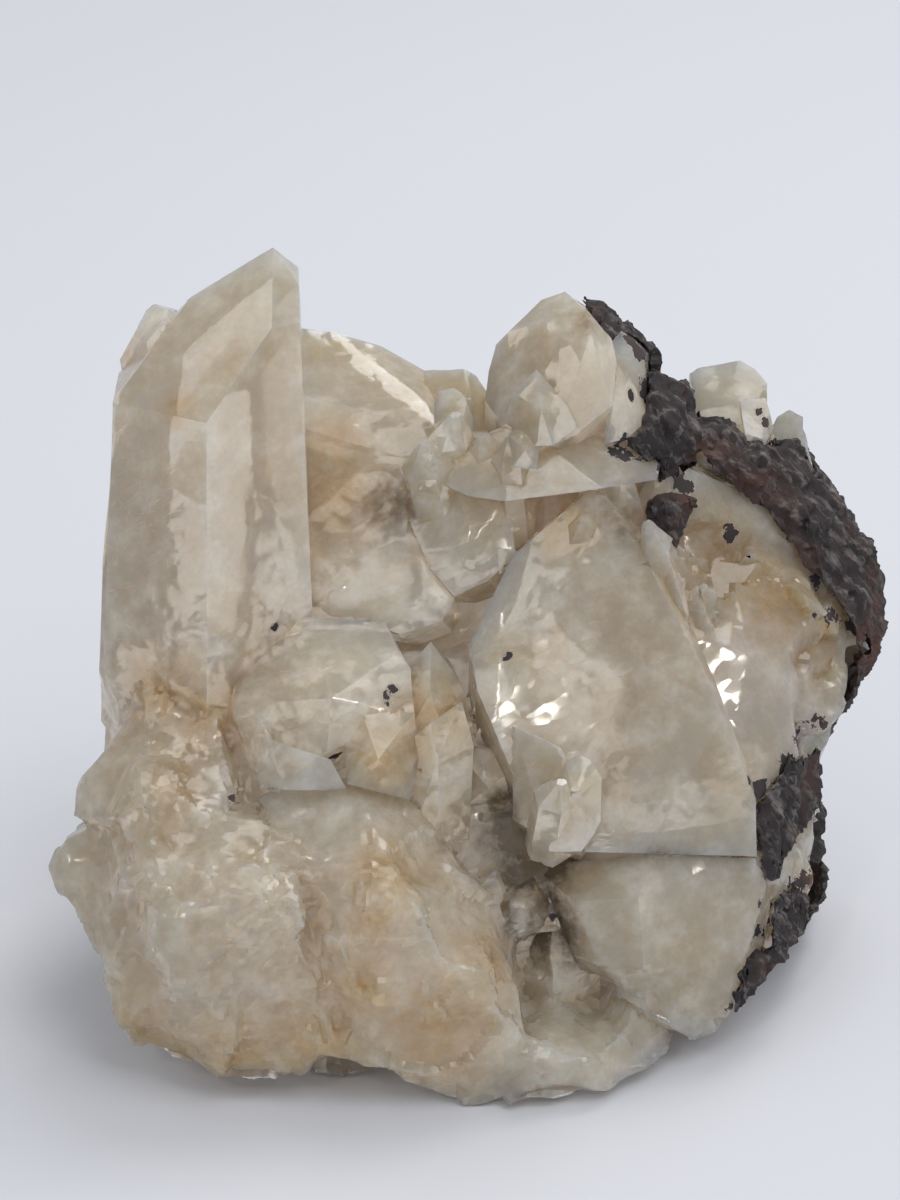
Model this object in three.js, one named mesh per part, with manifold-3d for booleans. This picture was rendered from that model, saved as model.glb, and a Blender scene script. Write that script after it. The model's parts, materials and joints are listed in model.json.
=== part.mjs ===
// A hand-sized cluster of milky quartz crystals on a broken quartz base, with a rind of dark iron and
// manganese matrix left on its right and back. Millimetres: +X right, +Y away from the viewer, +Z up.
// The origin is the middle of the bounding box's bottom, on the surface that the cluster rests on.
import * as THREE from "three";
import { ConvexGeometry } from "three/addons/geometries/ConvexGeometry.js";
import { mergeVertices } from "three/addons/utils/BufferGeometryUtils.js";
import Module from "manifold-3d";

const wasm = await Module();
wasm.setup();

// Driving dimensions
const CAP_ANGLE = 51.8; // between the long axis and the normal of a quartz crystal's cap face, degrees
const REST_HEIGHT = 0; // the broken underside is flat here
const CRUST_GAP = 0.3; // between the quartz and the matrix rind
const SLIVER = 0.05; // details smaller than this are cleaned away after the joins
const CRUMB = 20; // loose bits of rind below this volume are dropped, cubic millimetres
const DEEP = 32; // how far a tall crystal runs on below the middle of its root

// A convex solid from its planes: each is a unit normal and a distance from the middle.
function solidFromPlanes(planes, middle) {
  const corners = [];
  const line = new THREE.Vector3();
  for (let i = 0; i < planes.length; i++)
    for (let j = i + 1; j < planes.length; j++)
      for (let k = j + 1; k < planes.length; k++) {
        const [a, b, c] = [planes[i], planes[j], planes[k]];
        const spread = a.normal.dot(line.crossVectors(b.normal, c.normal));
        if (Math.abs(spread) < 1e-6) continue;
        const corner = new THREE.Vector3()
          .addScaledVector(new THREE.Vector3().crossVectors(b.normal, c.normal), a.distance)
          .addScaledVector(new THREE.Vector3().crossVectors(c.normal, a.normal), b.distance)
          .addScaledVector(new THREE.Vector3().crossVectors(a.normal, b.normal), c.distance)
          .divideScalar(spread);
        if (planes.every((p) => p.normal.dot(corner) <= p.distance + 1e-6)) corners.push(corner);
      }
  corners.forEach((corner) => corner.add(middle));
  return closedSolid(new ConvexGeometry(corners));
}

// A closed three.js geometry as a solid that can be joined and cut.
function closedSolid(geometry) {
  geometry.deleteAttribute("normal");
  geometry.deleteAttribute("uv");
  const merged = mergeVertices(geometry, 1e-4);
  return new wasm.Manifold(
    new wasm.Mesh({
      numProp: 3,
      vertProperties: merged.attributes.position.array,
      triVerts: new Uint32Array(merged.index.array),
    }),
  );
}

// One quartz crystal: a six-sided prism round the line through root, closed by six cap faces that meet
// at tip. turn swings its front face from -Y towards +X, caps moves single cap faces off the tip, and
// taper leans the prism's sides in towards the tip.
function crystal({ tip, root, along, width, turn = 0, caps = [], cap = CAP_ANGLE, taper = 0, grow = 0 }) {
  const apex = new THREE.Vector3(...tip);
  const foot = new THREE.Vector3(...root);
  const axis = along ? new THREE.Vector3(...along) : apex.clone().sub(foot);
  axis.normalize();
  const front = new THREE.Vector3(0, -1, 0).addScaledVector(axis, axis.y).normalize();
  const reach = apex.clone().sub(foot);
  const capAngle = THREE.MathUtils.degToRad(cap);
  const lean = THREE.MathUtils.degToRad(taper);
  const planes = [{ normal: axis.clone().negate(), distance: along ? DEEP : 0 }];
  for (let k = 0; k < 6; k++) {
    const out = front.clone().applyAxisAngle(axis, THREE.MathUtils.degToRad(turn + 60 * k));
    const side = out.clone().multiplyScalar(Math.cos(lean)).addScaledVector(axis, Math.sin(lean));
    const end = out.clone().multiplyScalar(Math.sin(capAngle)).addScaledVector(axis, Math.cos(capAngle));
    planes.push({ normal: side, distance: (width / 2) * Math.cos(lean) + grow });
    planes.push({ normal: end, distance: end.dot(reach) + (caps[k] ?? 0) + grow });
  }
  return solidFromPlanes(planes, foot);
}

// A broken block with flat faces: the hull of its corners, with every face moved out by grow.
function block(corners, grow = 0) {
  const points = corners.map((corner) => new THREE.Vector3(...corner));
  const hull = new ConvexGeometry(points);
  if (grow === 0) return closedSolid(hull);
  const middle = new THREE.Vector3();
  points.forEach((point) => middle.addScaledVector(point, 1 / points.length));
  const at = hull.attributes.position;
  const planes = [];
  for (let i = 0; i < at.count; i += 3) {
    const [a, b, c] = [0, 1, 2].map((k) => new THREE.Vector3().fromBufferAttribute(at, i + k).sub(middle));
    const face = new THREE.Plane().setFromCoplanarPoints(a, b, c);
    const twin = planes.find((p) => p.normal.dot(face.normal) > 0.99999);
    if (!twin) planes.push({ normal: face.normal, distance: grow - face.constant });
  }
  return solidFromPlanes(planes, middle);
}

const tallPoint = [
  {
    tip: [-24, 5.5, 102],
    root: [-33.5, 4.5, 57],
    along: [0.035, 0.04, 1],
    width: 26.5,
    turn: -27,
    caps: [0, 0, 0, 4, 0, 4],
    taper: 3,
  },
];

const tallPointSides = [
  // the nub on the tall crystal's left shoulder
  [
    [-44.5, 10, 85.5], [-43.5, 7, 82], [-42.5, 9, 89], [-40.5, 9, 91.5], [-41, 12, 91.5],
    [-40, 13, 92], [-37, 11, 92], [-37.5, 6, 93.5], [-38, 4, 92.5], [-40, 3, 90.5], [-39.5, 0, 85.5],
    [-35, 8, 90.5], [-33.5, 2, 80.5],
  ],
  // the thin crystal grown along the tall one's left side
  [
    [-44, 9, 82], [-42.5, 9, 82.5], [-41.5, 5, 81], [-45.5, 6, 74.5], [-47.5, 4, 60], [-49, 0, 38],
    [-45.5, -4, 34.5], [-34.5, 8, 78], [-35.5, 2, 37], [-45, 16, 79.5], [-50, 12, 31.5],
  ],
];

const lyingCrystal = [
  // the crystal lying behind, right of the tall one
  [
    [-22.5, 26, 84], [-18, 26, 83.5], [-11.5, 26, 81.5], [-8, 25, 79.5], [-5, 24, 78.5],
    [-22, 16, 78.5], [-12.5, 16, 77.5], [-5, 16, 77], [-22, 13, 73], [-13.5, 12, 74], [-8.5, 10, 72],
    [-6, 10, 72.5], [-3.5, 12, 75], [-2, 12, 72], [-26, 32, 60], [-2, 32, 58],
  ],
  // its broken end
  [
    [-5.5, 22, 79.5], [-3.5, 21, 79.5], [0, 21, 80], [1.5, 21, 79], [3, 20, 77], [3.5, 16, 72],
    [-4.5, 14, 71.5], [-4, 30, 60], [4, 30, 60],
  ],
  // a round-faced crystal in front of that end
  [
    [-4, 9, 75], [-4, 12, 78.5], [-3.5, 13, 80], [-1.5, 13, 80.5], [0, 12, 79.5], [1, 11, 77],
    [1, 10, 76], [-0.5, 8, 75.5], [-2, 7.5, 75], [-2, 18, 71], [1, 18, 77],
  ],
  // a kite-faced crystal below it
  [
    [-3, 9, 76.5], [-1.5, 5, 73], [-4.5, 3, 71.5], [-6.5, 6, 72.5], [-6, 8, 74.5], [-4.5, 2, 74.5],
    [-4.5, 14, 68.5], [-2, 14, 74],
  ],
];

const stubbyPoint = [
  // the stubby point
  [
    [3, 15, 82], [4, 17, 85], [5.5, 15, 87.5], [10, 19, 90.5], [13, 18, 92], [15.5, 17, 90.5],
    [19, 13, 87], [19.5, 11, 85], [19, 8, 80], [14, 5, 77], [11, 3, 76.5], [5, 6, 78], [2.5, 12, 79],
    [10, 12, 90], [16, 12, 91], [16, 9, 89.5], [12, 8, 87.5], [3, 28, 62], [22, 28, 62], [12, 30, 84],
  ],
  // the small point in front of it
  [
    [9, 6.5, 85.5], [6, 5, 83], [5, 4.5, 79], [9, 0.5, 77.5], [11, 0.5, 77.5], [14.5, 3.5, 79],
    [13, 4.5, 81.5], [9.5, 1.5, 82], [10, 12, 73.5],
  ],
  // the strip crystal on its right
  [
    [19, 16, 85.5], [20.5, 18, 86.5], [22, 18, 85.5], [23.5, 17, 84], [24, 12, 76.5], [21, 9, 75],
    [18, 7, 75], [19, 8, 79.5], [22, 26, 62], [26, 26, 80],
  ],
];

const ledge = [
  // the ledge crystal
  [
    [-4.5, 4, 71.5], [-1.5, 6, 72.5], [0.5, 0.5, 70.5], [5, 0, 70], [17.5, 3, 70.5], [25, 7, 70],
    [25.5, 9, 71.5], [20.5, 12, 73.5], [17.5, 12, 76], [6, 7, 78], [1.5, 8, 75.5], [-3.5, 6, 72],
    [-8, 18, 66], [26, 22, 64],
  ],
  // a small prism standing on the ledge
  [
    [5.5, 3, 78], [6.5, 4, 79], [8, 4, 79], [9.5, 2, 77.5], [9, -0.5, 74.5], [6, -0.5, 75],
    [7.5, -1, 77.5], [7.5, 8, 74],
  ],
];

const recess = [
  // the yellowed face below the lying crystal
  [
    [-22.5, 13, 74], [-13.5, 13, 74], [-12, 10, 72], [-7, 10, 72], [-13, 8, 66.5], [-13.5, 6, 62.5],
    [-18.5, 4, 61.5], [-20, 2, 61], [-22, -2, 51], [-8.5, -4, 52], [-24, 26, 40], [0, 26, 40],
    [-10, 26, 66],
  ],
  // the brown recess beside it
  [
    [-8, 12, 70.5], [-4.5, 10, 69], [-3.5, 8, 64], [-13, 9, 66.5], [-14, 6, 62], [-8.5, 2, 55],
    [-10, 24, 44], [0, 24, 60],
  ],
  // a pale broad face in the middle
  [
    [-19.5, 0, 55], [-18, 3, 60.5], [-15.5, 4, 62.5], [-9, 5, 64.5], [-4.5, 3, 62], [-1.5, -1, 57],
    [-3, -3, 54.5], [-8.5, -4, 53], [-10.5, -4, 55], [-17.5, -2, 55], [-22, 20, 36], [2, 20, 36],
    [-4, 18, 58],
  ],
  // the blunt face right of it
  [
    [-8.5, 7, 67], [-4.5, 7, 69.5], [-1, 6, 72], [4.5, 3, 69], [6, 2, 66.5], [6.5, 0, 62.5],
    [3, -1.5, 59.5], [-1.5, -2, 57.5], [-4.5, 0, 60.5], [0.5, 0, 64.5], [-4, 20, 44], [8, 20, 44],
  ],
];

const broadCrystal = [
  // the broad crystal
  [
    [6, -1.5, 63], [16, 4.5, 69.5], [18, 4, 69], [22.5, 1, 63], [25.5, -2, 57], [29.5, -4.5, 51.5],
    [32.5, -8, 45.5], [37.5, -14, 34], [3.5, -13.5, 44.5], [1.5, -11, 48.5], [0.5, -8, 53.5],
    [4.5, -5, 58], [37.5, -18, 28], [10, -20.5, 30.5], [19, 8, 68], [26.5, 5, 59.5], [0, 14, 20],
    [36, 10, 20], [18, 20, 66], [34, 14, 50],
  ],
  // a sliver crystal at its right edge
  [
    [24.5, 4, 61], [26.5, 4, 61.5], [28.5, 3, 61], [29.5, 2, 58.5], [28.5, -1, 56], [28, -2, 56.5],
    [25.5, 0, 56], [26.5, 1, 61.5], [31, -1, 49], [30.5, 12, 53],
  ],
  // the sparkling side right of it
  [
    [29.5, 6, 59], [40.5, 8, 60], [50, 10, 51], [53.5, 8, 46], [52, 4, 39], [44, -1, 43.5],
    [35, -9, 39.5], [38, -12, 33], [30.5, -2, 51], [29.5, -2, 49.5], [40, -9, 31.5], [45.5, -3, 37],
    [30, 16, 20], [50, 18, 20], [46, 24, 50], [34, 14, 56],
  ],
];

const rightSide = [
  // the upper right face, between patches of crust
  [
    [29.5, 12, 69.5], [33, 12, 65], [41.5, 14, 63.5], [46, 13, 55.5], [52.5, 12, 46.5], [55.5, 11, 43],
    [33.5, 3, 54.5], [29.5, 5, 59.5], [25.5, 6, 61], [24.5, 9, 66.5], [24, 30, 40], [52, 26, 30],
    [50, 30, 48], [34, 32, 62],
  ],
  // a whitish knob behind the crust
  [
    [30.5, 26, 77.5], [32, 27, 78], [37.5, 27, 79], [39.5, 26, 78], [41, 25, 76.5], [41, 24, 74.5],
    [37.5, 20, 72.5], [31.5, 20, 71.5], [30, 32, 60], [42, 32, 60],
  ],
  // a second knob
  [
    [37, 21, 75.5], [38.5, 22, 75.5], [40.5, 22, 75.5], [41, 21, 74], [41.5, 20, 72], [40.5, 18, 71],
    [37.5, 18, 72], [41, 28, 68.5], [38, 26, 50],
  ],
  // a third knob
  [
    [42.5, 24, 72], [44, 24, 73], [46, 24, 72], [46, 22, 69.5], [42.5, 20, 69.5], [41.5, 22, 71],
    [44, 29, 56], [42, 26, 42],
  ],
  // a fourth knob
  [
    [46, 24, 70.5], [47, 23, 69], [47.5, 22, 66.5], [48.5, 20, 64.5], [45, 18, 65], [45, 22, 69.5],
    [47, 28, 54], [44, 25, 42],
  ],
  // the crumbly block low on the right
  [
    [38.5, -8, 30.5], [43.5, -4, 27], [50.5, 2, 23.5], [50, 0, 21], [49.5, -1, 16.5], [49, -5, 13.5],
    [45, -10, 11], [40.5, -15, 10], [36, -20, 6], [33, -24, 5.5], [38, -15, 25.5], [36.5, -18, 21.5],
    [30, 14, 0], [44, 16, 4], [48, 16, 24],
  ],
  // the block at the lower right
  [
    [9, -14, 24], [11, -17, 20], [14.5, -20, 14.5], [16.5, -23, 10.5], [19.5, -26, 10], [14, -21, 23],
    [22, -23, 25], [24.5, -19, 29], [37.5, -16, 26.5], [39.5, -15, 22.5], [37, -19, 16.5],
    [35.5, -22, 8.5], [33.5, -25, 5.5], [29, -27, 5.5], [23.5, -28, 8.5], [8, 10, 2], [34, 10, 2],
  ],
];

const pocketBlocks = [
  // a pointed crystal at the top of the pocket
  [
    [-4.5, -6, 53], [-7.5, -7, 49.5], [-8, -13, 42], [-0.5, -8, 48], [1.5, -12, 41], [-4.5, -12, 49],
    [-2.5, -15, 43], [-8, 0, 35], [1.5, 0, 34.5], [-2, 2, 46],
  ],
  // the crystal below it
  [
    [-7.5, -14, 42.5], [-4.5, -16, 46.5], [-0.5, -13, 48], [1, -13.5, 42], [0.5, -14, 28],
    [-7, -17, 29.5], [-3.5, -18, 42.5], [-3.5, -18, 30], [-8, -4, 37], [1, -2, 35.5], [0.5, -4, 21.5],
  ],
  // a small crystal beside it
  [
    [0.5, -11, 37.5], [1.5, -9, 39.5], [3, -9, 39], [5.5, -11, 36.5], [5.5, -12, 32.5],
    [0.5, -12, 32.5], [3, -13.5, 35.5], [0.5, -2, 32.5], [6, -2, 31], [3.5, -8, 26],
  ],
  // the grey floor of the pocket
  [
    [0, -9, 31.5], [5.5, -10, 32], [8.5, -12, 28.5], [11, -15, 24.5], [7, -17, 22.5], [0.5, -14, 24],
    [4.5, -19, 16], [12.5, -19, 17.5], [0, -2, 8], [14, -2, 8], [6, 0, 34],
  ],
  // the crystal right of the pocket
  [
    [6, -14, 45], [9.5, -16, 44.5], [12, -18, 44], [13, -19, 42.5], [13.5, -20.5, 37.5],
    [12.5, -21.5, 35.5], [10.5, -23, 33.5], [10, -22, 34], [8, -19.5, 33.5], [6, -18, 33.5],
    [6, -6, 40.5], [12.5, -8, 38.5], [11, -14, 24.5],
  ],
  // the paler crystal beside it
  [
    [12.5, -20, 43], [14, -19.5, 44], [15.5, -20, 43.5], [17, -21, 41.5], [17, -22.5, 36],
    [16, -23.5, 34.5], [14.5, -24, 32.5], [10.5, -24, 32.5], [10, -23, 34], [13.5, -24, 40],
    [17.5, -12, 36.5], [15.5, -14, 25], [11, -14, 26],
  ],
  // a chip low in the pocket
  [
    [1.5, -19, 27], [4.5, -18, 27], [5.5, -18.5, 24], [5, -21, 22.5], [3, -22, 24], [4.5, -20.5, 26],
    [3.5, -12, 17.5],
  ],
  // a second chip
  [
    [5.5, -17, 22.5], [9, -15, 24], [11, -17.5, 20.5], [10.5, -20, 19], [7, -22, 17], [5.5, -21, 21],
    [8.5, -20, 22], [8.5, -12, 11.5],
  ],
];

const pocketCrystals = [
  { tip: [11.5, -17, 18.5], root: [13.5, -14, -3], width: 10, turn: 14, cap: 58 },
];

const frontCrystal = [
  // the big crystal left of the pocket
  [
    [-29.5, -9, 49], [-22, -3, 55], [-10.5, -4, 55], [-8.5, -8, 52.5], [-7, -9, 50.5], [-6.5, -13, 46],
    [-15, -17, 45], [-17.5, -18, 43.5], [-29.5, -12, 47], [-31.5, -9, 44], [-27.5, -14, 41],
    [-27.5, -16, 34.5], [-30, -12, 32], [-17, -15, 49.5], [-30, 12, 24], [-8, 12, 24],
  ],
  // the crumbs under it
  [
    [-27.5, -14, 42], [-26, -15, 44], [-17, -20, 43.5], [-15, -22, 40.5], [-22, -21, 39.5],
    [-26.5, -18, 38], [-23, -10, 38],
  ],
  // the pinkish block under its right half
  [
    [-15.5, -16, 45], [-13, -15, 47], [-6.5, -13, 46.5], [-6, -16, 41], [-7, -19, 37], [-15, -20, 40],
    [-11, -20, 43.5], [-11, -6, 35.5],
  ],
];

const brokenLumps = [
  // the broken lump at the tall crystal's foot
  [
    [-53, -15, 34.5], [-53, -13, 36], [-50.5, -12, 38], [-46.5, -11, 41.5], [-43.5, -8, 44.5],
    [-42, -6, 49], [-37, -9, 46], [-32, -10, 45.5], [-30.5, -15, 41.5], [-29, -19, 37],
    [-32.5, -24, 35.5], [-36.5, -26, 34], [-40.5, -26, 40], [-39.5, -20, 42.5], [-48, -22, 35.5],
    [-52.5, -17, 32], [-48, 4, 30], [-28, 6, 30],
  ],
  // the big lump at the lower left
  [
    [-54.5, -17, 26], [-54, -15, 28.5], [-51.5, -16, 30], [-53, -19, 22], [-50, -22, 20.5],
    [-47, -25, 19.5], [-47, -27, 12], [-45.5, -29, 9], [-43.5, -30, 6], [-40.5, -31, 4.5],
    [-34, -33, 4], [-27.5, -34, 2.5], [-21, -34, 3.5], [-15.5, -34, 6.5], [-41, -23, 37.5],
    [-31.5, -23, 35.5], [-25.5, -22, 36.5], [-21.5, -23, 34.5], [-38.5, -32, 29.5], [-28.5, -33, 32],
    [-20.5, -33, 30.5], [-38, -35, 19], [-20.5, -35.5, 18], [-44, 6, 8], [-20, 10, 4], [-46, 4, 26],
    [-36, 0, 0],
  ],
  // the lump in the middle of the front
  [
    [-27, -18, 37], [-21, -16, 39], [-15, -17, 39], [-7.5, -17, 36], [-3.5, -17, 32.5],
    [-0.5, -19, 28], [2, -20, 25], [5, -23, 23], [7.5, -26, 19], [7.5, -27, 16.5], [8, -29, 13],
    [10, -31, 9], [4.5, -34, 1.5], [1, -35, -0.5], [-4.5, -35, 0.5], [-10, -35, 5.5], [-15.5, -34, 7],
    [-16.5, -33, 25.5], [-20.5, -26, 34], [-14.5, -35, 17.5], [-8, -29, 33], [-3, -33, 24],
    [-2, -36, 11], [-24, 8, 2], [4, 8, 2],
  ],
  // the low lump at the right of the front
  [
    [10.5, -22, 7.5], [13.5, -21, 7.5], [18, -22, 8], [21, -24, 8], [24, -25, 7], [28, -26, 4],
    [25.5, -29, 3], [22.5, -31, 2.5], [17, -33, 1.5], [12, -35, 0], [5, -35, 0.5], [7, -34, 8],
    [9.5, -31, 9], [17, -32, 8], [4, 4, 0], [28, 4, 0],
  ],
  // the small block at the foot of the right side
  [
    [28.5, -25, 8], [30.5, -25, 8.5], [34, -24, 7], [35.5, -22, 6.5], [33.5, -24, 4.5], [31, -26, 5],
    [28.5, -27, 5], [32.5, -10, -3],
  ],
  // the brown foot under the front
  [
    [-29, -27, -2.5], [-19, -28, -0.5], [-15, -28, 1], [-18.5, -28, -2.5], [-20, -29, -3],
    [-23, -28, -3], [-27, -26, -3], [-28.5, -25, -3], [-22, -8, 0], [-14, -8, 8], [-22, -8, 12],
  ],
  // the feet left of the middle
  [
    [-15.5, -27, 1], [-10.5, -28, 0.5], [-8.5, -29, -3], [-12.5, -28, -3], [-17, -26, -3],
    [-14, -10, 0], [-6, -10, 10],
  ],
];

const backBody = [
  // the body behind
  [
    [-44, 6, -1], [-46, 10, 26], [-34, 20, -1], [-36, 22, 50], [-18, 27, -1], [-22, 29, 58],
    [2, 28, -1], [8, 31, 60], [26, 29, -1], [30, 33, 56], [42, 24, -1], [46, 25, 44], [40, 4, -1],
    [42, 2, 24], [-30, -12, -1], [20, -20, -1], [0, -14, -1], [-24, 4, 50], [0, 6, 54], [24, 8, 56],
    [-10, -16, 24], [14, -14, 22], [-38, -6, 30],
  ],
  // a tall broken block at the back
  [
    [-24, 24, 62], [-6, 30, 66], [6, 33, 60], [8, 34.5, 46], [-4, 36, 40], [-20, 33, 44],
    [-26, 28, 50], [-10, 16, 40],
  ],
  // a ledge across the back
  [
    [-28, 26, 30], [-12, 33.5, 35], [8, 35.5, 32], [12, 33, 22], [-6, 35, 18], [-24, 30, 16],
    [-32, 22, 20], [-8, 16, 24],
  ],
  // a low step at the back
  [
    [-42, 12, 4], [-33, 25, 1], [-14, 31, -1], [4, 31, -1], [6, 32.5, 12], [-12, 33, 15],
    [-33, 26, 18], [-44, 15, 16], [-28, 8, 8],
  ],
  // a broken corner at the left of the back
  [
    [-48, 6, 12], [-45, 16, 24], [-40, 22, 34], [-34, 24, 28], [-36, 22, 14], [-46, 10, 30],
    [-30, 6, 20],
  ],
];

const backCrystals = [
  { tip: [-31, 25, 72], root: [-29, 20, 36], width: 12.5, turn: 176 },
  { tip: [-44, 20, 50], root: [-37, 15, 20], width: 11, turn: 150 },
  { tip: [-40, 33, 36], root: [-6, 29, 27], width: 10, turn: 18 },
  { tip: [0, 37, 59], root: [-5, 26, 38], width: 11, turn: 190 },
];

const crustPatches = [
  // along the top, behind the stubby point
  [
    [15.5, 20, 90], [18, 21, 88], [19.5, 21, 88], [21.5, 21, 86.5], [23.5, 21, 85], [25.5, 21, 82.5],
    [26.5, 20, 79], [24, 16, 80.5], [19, 16, 85.5], [16, 28, 88], [26, 28, 80], [22, 28, 70],
  ],
  // over the recess right of the stubby point
  [
    [23.5, 15, 81.5], [26.5, 20, 80], [30, 19, 79], [31, 18, 78], [30, 15, 74.5], [31.5, 14, 71],
    [30, 13, 68.5], [25, 8, 68.5], [24.5, 8.5, 72], [19.5, 9, 73.5], [21.5, 11, 74.5], [24, 13, 75.5],
    [26.5, 9, 77.5], [28, 28, 72],
  ],
  // the patch on the ledge's end
  [
    [23, 6.5, 66.5], [25, 7.5, 68.5], [33, 12, 66], [32, 11, 64], [29.5, 8, 61.5], [27.5, 4.5, 61.5],
    [24.5, 4, 63], [24, 5, 65], [26.5, 3.5, 67.5], [30, 20, 60],
  ],
  // the band's upper end
  [
    [31, 21, 74], [34, 21, 73.5], [37, 20, 73], [38.5, 19, 71], [41, 19, 70], [45.5, 21, 69.5],
    [42, 13, 63.5], [38.5, 12, 64], [32.5, 12, 69], [31.5, 12, 71], [33.5, 14, 72.5], [30.5, 17, 73],
    [36, 11.5, 70.5], [36, 34, 68], [48, 33, 62],
  ],
  // the band
  [
    [45, 20, 69.5], [46, 20, 67], [48.5, 20, 64], [51.5, 19, 59.5], [54.5, 19, 56.5], [56.5, 18, 54.5],
    [57, 17, 51.5], [49, 10, 51], [45.5, 11, 58], [42.5, 12.5, 59.5], [39.5, 12, 64], [41, 17, 70],
    [46, 11, 62.5], [48, 34, 64], [56, 31, 44],
  ],
  // its lower end
  [
    [56.5, 18, 54.5], [57, 16, 48], [58, 15, 44.5], [57, 13.5, 42], [55, 10, 41.5], [52, 8.5, 48],
    [48.5, 10, 51], [46, 13, 57], [59, 26, 43.5], [59.5, 24, 40], [58, 24, 35], [50, 30, 30],
  ],
  // the rim down the right side
  [
    [58, 15, 44.5], [57, 13.5, 42], [55, 9, 41], [52, 5, 39], [51, 3, 38], [49, 1, 36], [46.5, -1, 36],
    [44, -3, 39], [57.5, 24, 33], [55, 24, 27.5], [52, 22, 23.5], [46, 24, 14],
  ],
  // the wedge below the sparkling side
  [
    [46, -2, 38.5], [48, 0, 32], [46.5, -1, 29], [48, -1, 27.5], [48, -2, 26], [44.5, -7, 25.5],
    [42, -8, 29.5], [40, -12, 26], [40.5, -14, 23], [40, -15, 22.5], [38, -14.5, 26.5],
    [37.5, -12.5, 33], [39.5, -11, 33], [42, -9, 35], [43.5, -5, 38], [50.5, 18, 18.5], [51, 16, 15],
    [46, 18, 12],
  ],
  // the patch on the lower right block
  [
    [48.5, -2, 18.5], [49.5, -2, 17], [49.5, -4, 15.5], [48.5, -6, 14], [45, -10, 14.5],
    [44.5, -12, 13], [43, -15, 11.5], [41, -17, 10.5], [40.5, -17.5, 15.5], [40, -17, 18.5],
    [42.5, -12, 20], [44.5, -8, 20.5], [51, 10, 8.5], [50, 6, 5], [44, 14, 6],
  ],
  // the foot of the rind
  [
    [40.5, -17.5, 13.5], [41, -17, 10.5], [39.5, -19, 9.5], [36.5, -21.5, 8.5], [35.5, -23, 7],
    [34, -25, 6.5], [33, -25.5, 8.5], [35, -23, 12.5], [36.5, -20.5, 14], [44, 12, 0], [48, 10, 6],
  ],
  // the rind round the right side
  [
    [59.5, 24, 38], [57.5, 26, 32], [55.5, 26, 27.5], [52, 26, 20.5], [53, 33, 44], [44, 36.5, 50],
    [52, 30, 30], [40, 37, 34], [36, 35, 24], [34, 22, 66], [44, 24, 60], [32, 35, 60], [46, 24, 24],
  ],
  // the rind high on the back
  [
    [45, 36, 49], [25, 38, 65], [21, 36.5, 75], [15, 35, 71], [16, 37, 54], [27, 38.5, 45],
    [41, 37, 35], [20, 27, 70], [40, 26, 62], [30, 28, 50],
  ],
  // the rind in the middle of the back
  [
    [41, 37.5, 37], [27, 38.5, 48], [19, 37, 50], [10, 35.5, 36], [13, 34.5, 27], [23, 37, 21],
    [37, 36, 20], [25, 27, 34],
  ],
  // the rind low on the right side
  [
    [51, 24, 20], [50.5, 22, 14.5], [52.5, 20, 12], [52, 16, 6], [50.5, 10, 2.5], [46.5, 2, 1],
    [44, 24, 2], [45, 12, 1.5], [40, 8, 1.5], [37, 35, 27], [35, 34, 6], [46, 27, 20],
  ],
  // the rind low on the back
  [
    [36, 35, 9], [38, 35.5, 24], [23, 36.5, 27], [17, 34.5, 15], [20, 33.5, 5], [29, 34.5, 3],
    [30, 27, 10],
  ],
];

// All of the quartz in one solid: at its own size, or grown by the gap to cut the rind that lies on it.
function quartzSolid(grow) {
  const crystals = [...tallPoint, ...pocketCrystals, ...backCrystals];
  const blocks = [
    ...tallPointSides,
    ...lyingCrystal,
    ...stubbyPoint,
    ...ledge,
    ...recess,
    ...broadCrystal,
    ...rightSide,
    ...pocketBlocks,
    ...frontCrystal,
    ...brokenLumps,
    ...backBody,
  ];
  const solids = crystals.map((made) => crystal({ ...made, grow }));
  solids.push(...blocks.map((corners) => block(corners, grow)));
  return solids.reduce((whole, next) => whole.add(next));
}

// The part of a solid above the surface that the cluster rests on.
const aboveRest = (solid) => solid.trimByPlane([0, 0, 1], REST_HEIGHT);

const quartz = aboveRest(quartzSolid(0)).simplify(SLIVER);

const patches = crustPatches.map((corners) => block(corners)).reduce((whole, next) => whole.add(next));
const crusts = aboveRest(patches)
  .subtract(quartzSolid(CRUST_GAP))
  .decompose()
  .filter((piece) => piece.volume() > CRUMB)
  .sort((a, b) => b.volume() - a.volume())
  .map((piece) => piece.simplify(SLIVER));

// How far everything moves so that the origin is the middle of the bounding box's bottom.
const boxes = [quartz, ...crusts].map((solid) => solid.boundingBox());
const toMiddle = [0, 1].map((k) => {
  const low = Math.min(...boxes.map((box) => box.min[k]));
  const high = Math.max(...boxes.map((box) => box.max[k]));
  return -(low + high) / 2;
});

function mesh(name, solid, color, roughness) {
  const { vertProperties, triVerts, numProp } = solid.translate([...toMiddle, 0]).getMesh();
  const geometry = new THREE.BufferGeometry();
  const positions = new Float32Array((vertProperties.length / numProp) * 3);
  for (let i = 0; i < positions.length / 3; i++)
    for (let k = 0; k < 3; k++) positions[i * 3 + k] = vertProperties[i * numProp + k];
  geometry.setAttribute("position", new THREE.BufferAttribute(positions, 3));
  geometry.setIndex(new THREE.BufferAttribute(new Uint32Array(triVerts), 1));
  const made = new THREE.Mesh(geometry, new THREE.MeshStandardMaterial({ color, roughness, metalness: 0 }));
  made.name = name;
  return made;
}

const cluster = new THREE.Group();
cluster.name = "quartz_specimen";
cluster.add(mesh("quartz_cluster", quartz, 0xcfc4b4, 0.3));
const crustNames = ["matrix_rind", "matrix_patch_low", "matrix_patch_ledge"];
crusts.forEach((piece, i) => cluster.add(mesh(crustNames[i], piece, 0x3a3230, 0.85)));

export default cluster;
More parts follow.
